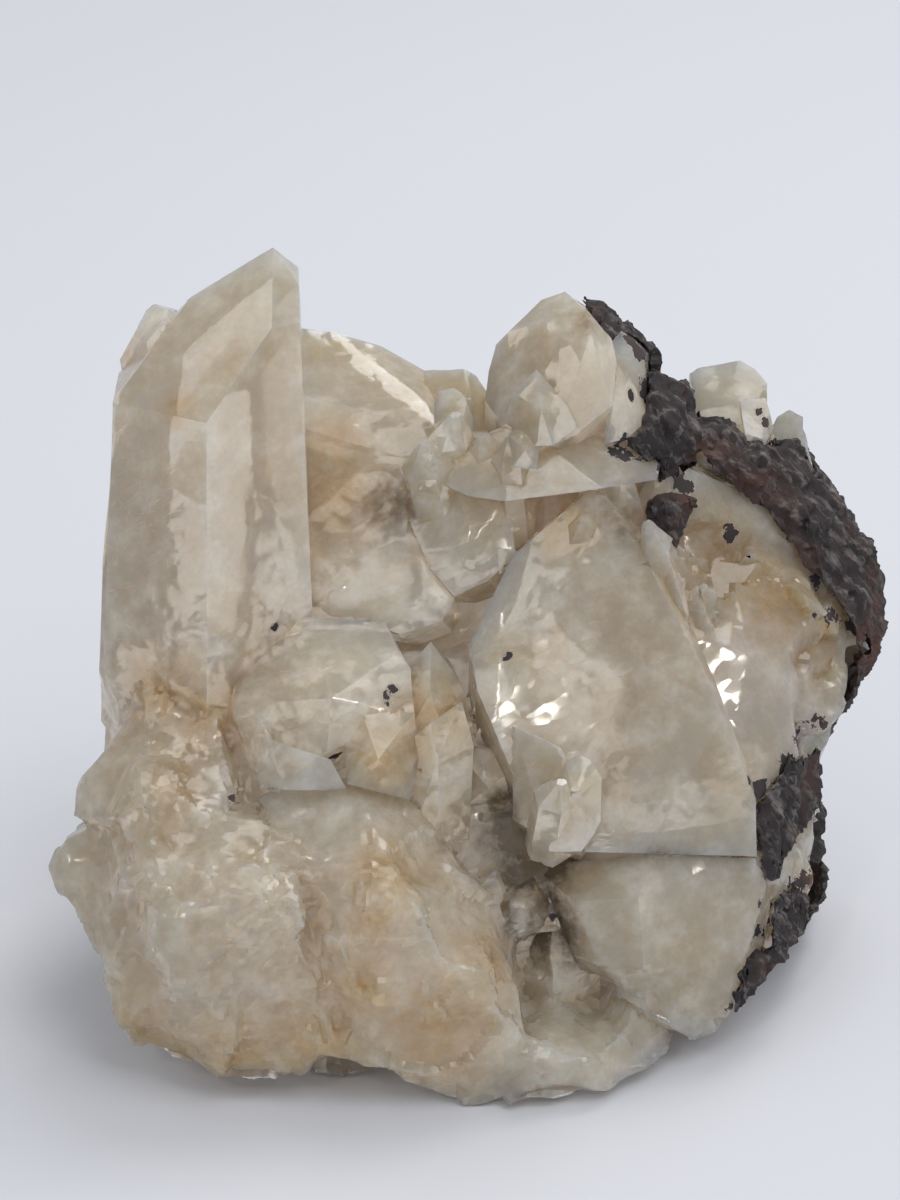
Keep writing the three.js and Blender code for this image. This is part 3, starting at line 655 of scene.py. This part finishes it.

# %% Stains and film
# Each stain, and the dark brown painted into the pocket, is strongest in the middle of its zone, and the ragged
# noise eats into it from the edge.
for name, tint, start, full, strongest in (
    ("ochre", "#cda566", 0.05, 0.45, 0.7),
    ("brown", "#84694a", 0.12, 0.5, 0.75),
    ("smoky", "#5d5142", 0.06, 0.25, 0.95),
    ("film", "#2b2224", 0.30, 0.34, 1.0),
):
    eaten = add(milky_quartz, "ShaderNodeMath", {0: mask[name], 1: ragged.outputs["Fac"]}, operation="MULTIPLY")
    amount = add(
        milky_quartz,
        "ShaderNodeMapRange",
        {"Value": eaten.outputs[0], "From Min": start, "From Max": full, "To Max": strongest},
    ).outputs["Result"]
    colour = add(
        milky_quartz, "ShaderNodeMix", {"Factor": amount, "A": colour, "B": linear(tint)}, data_type="RGBA"
    ).outputs["Result"]
film_here = amount
print("milky quartz has", len(milky_quartz.node_tree.nodes), "nodes with its stains")

# %% Gloss and clearness
# A crystal face is nearly as smooth as glass, broken ground is a little duller, and the film is matt and opaque.
# Where the milk is dense, in the wisps, less light passes straight through.
FACE_ROUGHNESS = 0.09
BROKEN_ROUGHNESS = 0.18
CLEAR_IN_CLEAR_PARTS = 0.66
CLEAR_IN_WISPS = 0.52
dull = add(
    milky_quartz,
    "ShaderNodeMapRange",
    {"Value": mask["broken"], "To Min": FACE_ROUGHNESS, "To Max": BROKEN_ROUGHNESS},
)
duller = add(
    milky_quartz, "ShaderNodeMath", {0: film_here, 1: 0.6, 2: dull.outputs["Result"]}, operation="MULTIPLY_ADD"
)
clear = add(
    milky_quartz,
    "ShaderNodeMapRange",
    {
        "Value": wisps.outputs["Fac"],
        "From Min": 0.4,
        "From Max": 0.7,
        "To Min": CLEAR_IN_CLEAR_PARTS,
        "To Max": CLEAR_IN_WISPS,
    },
)
clear = add(
    milky_quartz, "ShaderNodeMapRange", {"Value": film_here, "To Min": clear.outputs["Result"], "To Max": 0.0}
)
print("milky quartz has", len(milky_quartz.node_tree.nodes), "nodes with its gloss")

# %% Grains
# Each grain of 1.2 mm is a little plane with a tilt of its own, so that grains catch the light one by one. Grains
# are drawn out along the broad crystal's growth. Their tilts are slight on a face and wide on broken ground.
GROWTH_SLANT = math.radians(-35)
FACE_TILT = 0.06
BROKEN_TILT = 0.26
along_growth = add(
    milky_quartz,
    "ShaderNodeMapping",
    {"Vector": where, "Rotation": (0, GROWTH_SLANT, 0), "Scale": (2.5, 1, 1)},
    vector_type="TEXTURE",
)
grains = add(milky_quartz, "ShaderNodeTexVoronoi", {"Vector": along_growth.outputs["Vector"], "Scale": 830})
tilt = add(milky_quartz, "ShaderNodeVectorMath", {0: grains.outputs["Color"], 1: (0.5,) * 3}, operation="SUBTRACT")
offset = add(
    milky_quartz,
    "ShaderNodeVectorMath",
    {0: along_growth.outputs["Vector"], 1: grains.outputs["Position"]},
    operation="SUBTRACT",
)
plane = add(
    milky_quartz,
    "ShaderNodeVectorMath",
    {0: tilt.outputs["Vector"], 1: offset.outputs["Vector"]},
    operation="DOT_PRODUCT",
)
steep = add(
    milky_quartz, "ShaderNodeMapRange", {"Value": mask["broken"], "To Min": FACE_TILT, "To Max": BROKEN_TILT}
)
relief = add(
    milky_quartz, "ShaderNodeMath", {0: plane.outputs["Value"], 1: steep.outputs["Result"]}, operation="MULTIPLY"
)
etched = add(milky_quartz, "ShaderNodeBump", {"Height": relief.outputs[0], "Strength": 1.0, "Distance": 1.0})
print("milky quartz has", len(milky_quartz.node_tree.nodes), "nodes with its grains")

# %% Quartz shader
# Light goes 14 mm into the milk, red furthest, so thick parts glow warm. The rest passes through as through glass.
QUARTZ_IOR = 1.54
MILK_DEPTH = 14 * MM
quartz_shader = add(
    milky_quartz,
    "ShaderNodeBsdfPrincipled",
    {
        "Base Color": colour,
        "Roughness": duller.outputs[0],
        "IOR": QUARTZ_IOR,
        "Subsurface Weight": 1.0,
        "Subsurface Radius": (1.0, 0.82, 0.6),
        "Subsurface Scale": MILK_DEPTH,
        "Transmission Weight": clear.outputs["Result"],
        "Normal": etched.outputs["Normal"],
    },
)
add(milky_quartz, "ShaderNodeOutputMaterial", {"Surface": quartz_shader.outputs["BSDF"]})
quartz.data.materials.clear()
quartz.data.materials.append(milky_quartz)
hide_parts("quartz_cluster")
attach(quartz, "root")
print(milky_quartz.name, "is on", quartz.name)

# %% [markdown]
# ## The dark rind
#
# The matrix is the rock that the crystals grew on, stained nearly black by iron and manganese oxides. It is
# dull and crumbly, streaked grey where fibres run through it, and rusty where it thins out. Its pieces are made
# like the quartz, with a coarser and deeper grain, and their edges sink into the quartz as a crust does.

# %% Rind pieces
# Hard noise makes crumbs with sharp creases between them, and finer noise roughens each crumb.
RIND_CELL = 0.6 * MM
CRISP_CRUMB = math.radians(40)
RUSTY_ZONES = [(53, 9, 44, 12), (34, 10, 70, 9), (25, 8, 66, 6), (42, -6, 32, 7), (45, 0, 20, 8), (20, 8, 76, 5)]
rind_pieces = []
for node in ("matrix_rind", "matrix_patch_low", "matrix_patch_ledge"):
    piece = copy_of(node, node.replace("matrix", "dark"))
    remesh_evenly(piece, RIND_CELL)
    keep_mask(piece, "all", np.ones(len(piece.data.vertices)))
    keep_mask(piece, "rusty", depth_in_zones(points_of(piece), RUSTY_ZONES, soft=1.0))
    soften(piece, "all zone", rounds=3)
    push(piece, "CLOUDS", size=5 * MM, height=2.2 * MM, middle=0.4, noise_type="HARD_NOISE")
    push(piece, "CLOUDS", size=2 * MM, height=1.2 * MM)
    push(piece, "CLOUDS", size=1 * MM, height=0.6 * MM)
    bpy.ops.object.select_all(action="DESELECT")
    piece.select_set(True)
    bpy.ops.object.shade_smooth_by_angle(angle=CRISP_CRUMB)
    rind_pieces.append((node, piece))

# %% [markdown]
# ### Iron and manganese matrix
#
# Manganese oxide is nearly black, and rough enough to show no gloss. Fibres of 1.4 mm run down to the right and
# streak it grey, blotches of 6 mm let the rust through, and grit under a millimetre breaks up what light it
# returns.

# %% Matrix material
FIBRE_SLANT = math.radians(52)
matrix = bpy.data.materials.new("iron and manganese matrix")
matrix.use_nodes = True
matrix.node_tree.nodes.clear()
where = add(matrix, "ShaderNodeTexCoord").outputs["Object"]
along_fibres = add(
    matrix,
    "ShaderNodeMapping",
    {"Vector": where, "Rotation": (0, FIBRE_SLANT, 0), "Scale": (5, 1, 1)},
    vector_type="TEXTURE",
)
fibres = add(
    matrix,
    "ShaderNodeTexNoise",
    {"Vector": along_fibres.outputs["Vector"], "Scale": 700, "Detail": 6, "Roughness": 0.7},
)
blotches = add(matrix, "ShaderNodeTexNoise", {"Vector": where, "Scale": 160, "Detail": 5})
streaks = add(matrix, "ShaderNodeMapRange", {"Value": fibres.outputs["Fac"], "From Min": 0.5, "From Max": 0.74})
near_rust = add(matrix, "ShaderNodeAttribute", attribute_name="rusty")
rustier = add(
    matrix,
    "ShaderNodeMath",
    {0: near_rust.outputs["Fac"], 1: 0.2, 2: blotches.outputs["Fac"]},
    operation="MULTIPLY_ADD",
)
rust = add(
    matrix, "ShaderNodeMapRange", {"Value": rustier.outputs[0], "From Min": 0.52, "From Max": 0.72, "To Max": 0.8}
)
dark = add(
    matrix,
    "ShaderNodeMix",
    {"Factor": streaks.outputs["Result"], "A": linear("#272123"), "B": linear("#837d7b")},
    data_type="RGBA",
)
rusty = add(
    matrix,
    "ShaderNodeMix",
    {"Factor": rust.outputs["Result"], "A": dark.outputs["Result"], "B": linear("#4a3028")},
    data_type="RGBA",
)
print("matrix has", len(matrix.node_tree.nodes), "nodes with its colours")

# %% Grit and shader
grit = add(matrix, "ShaderNodeTexNoise", {"Vector": where, "Scale": 1500, "Detail": 4})
gritty = add(matrix, "ShaderNodeBump", {"Height": grit.outputs["Fac"], "Strength": 0.5, "Distance": 0.3 * MM})
matrix_shader = add(
    matrix,
    "ShaderNodeBsdfPrincipled",
    {"Base Color": rusty.outputs["Result"], "Roughness": 0.8, "Normal": gritty.outputs["Normal"]},
)
add(matrix, "ShaderNodeOutputMaterial", {"Surface": matrix_shader.outputs["BSDF"]})
for node, piece in rind_pieces:
    piece.data.materials.clear()
    piece.data.materials.append(matrix)
    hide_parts(node)
    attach(piece, "root")
    print(matrix.name, "is on", piece.name)

# %% [markdown]
# ## Floor and light
#
# The specimen stands on pale paper, and the paper is a wide flat sheet, so no edge of it shows. Half of the light
# comes from the pale room all around. The other half comes from two soft lights on the ceiling at the right, one
# behind and one in front, so each face has a shade of its own, and the shadow at the left is soft. They are large,
# so a face that mirrors one has a pale sheen. The three lamps are small: a grain that mirrors one is a glint.

# %% Floor
# Matt paper has no gloss, so the floor shows nothing but light and shadow.
paper = bpy.data.materials.new("pale paper")
paper.use_nodes = True
paper.node_tree.nodes.clear()
paper_shader = add(paper, "ShaderNodeBsdfPrincipled", {"Base Color": linear("#ced1d9"), "Roughness": 0.9})
add(paper, "ShaderNodeOutputMaterial", {"Surface": paper_shader.outputs["BSDF"]})
bpy.ops.mesh.primitive_plane_add(size=20)
floor = bpy.context.object
floor.name = "floor"
floor.data.materials.append(paper)
floor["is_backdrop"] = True
print("floor of", paper.name, "is", round(floor.dimensions.x), "m wide")

# %% Lights
SPECIMEN_MIDDLE = (0, 0, 0.04)
CEILING_WHITE = "#fffdf8"
LAMP_WHITE = "#fffaf0"


def soft_light(name, place, size, watts, colour):
    """A square light at a place, in metres, turned to face the specimen."""
    bpy.ops.object.light_add(type="AREA", location=place)
    light = bpy.context.object
    light.name = name
    light.data.size = size
    light.data.energy = watts
    light.data.color = linear(colour)[:3]
    light.rotation_euler = (Vector(SPECIMEN_MIDDLE) - Vector(place)).to_track_quat("-Z", "Y").to_euler()
    print(name, "is", size, "m wide, with", watts, "W")


soft_light("ceiling light behind", (0.42, 0.66, 1.36), 0.7, 9.4, CEILING_WHITE)
soft_light("ceiling light in front", (0.5, -0.42, 1.3), 0.8, 6.6, CEILING_WHITE)
soft_light("lamp at the right", (0.7, -0.65, 0.78), 0.06, 0.5, LAMP_WHITE)
soft_light("lamp in front", (0.31, -0.925, 0.665), 0.03, 0.15, LAMP_WHITE)
soft_light("lamp at the left", (-0.35, -0.75, 0.89), 0.06, 0.8, LAMP_WHITE)

# %% Room
ROOM_LIGHT = 0.62
sky = bpy.data.worlds.new("room")
sky.use_nodes = True
sky.node_tree.nodes["Background"].inputs["Color"].default_value = linear("#eef0f4")
sky.node_tree.nodes["Background"].inputs["Strength"].default_value = ROOM_LIGHT
bpy.context.scene.world = sky
bpy.context.scene.view_settings.view_transform = "Standard"
print("room light", ROOM_LIGHT)

# %% [markdown]
# ## Sizes
#
# The pushed surfaces mustn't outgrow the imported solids, so both boxes are written down to compare.

# %% Finish
VISUAL_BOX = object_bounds()
for name, box in (("cad", CAD_BOX), ("visual", VISUAL_BOX)):
    print(name, "box", [[round(x, 4) for x in corner] for corner in box])
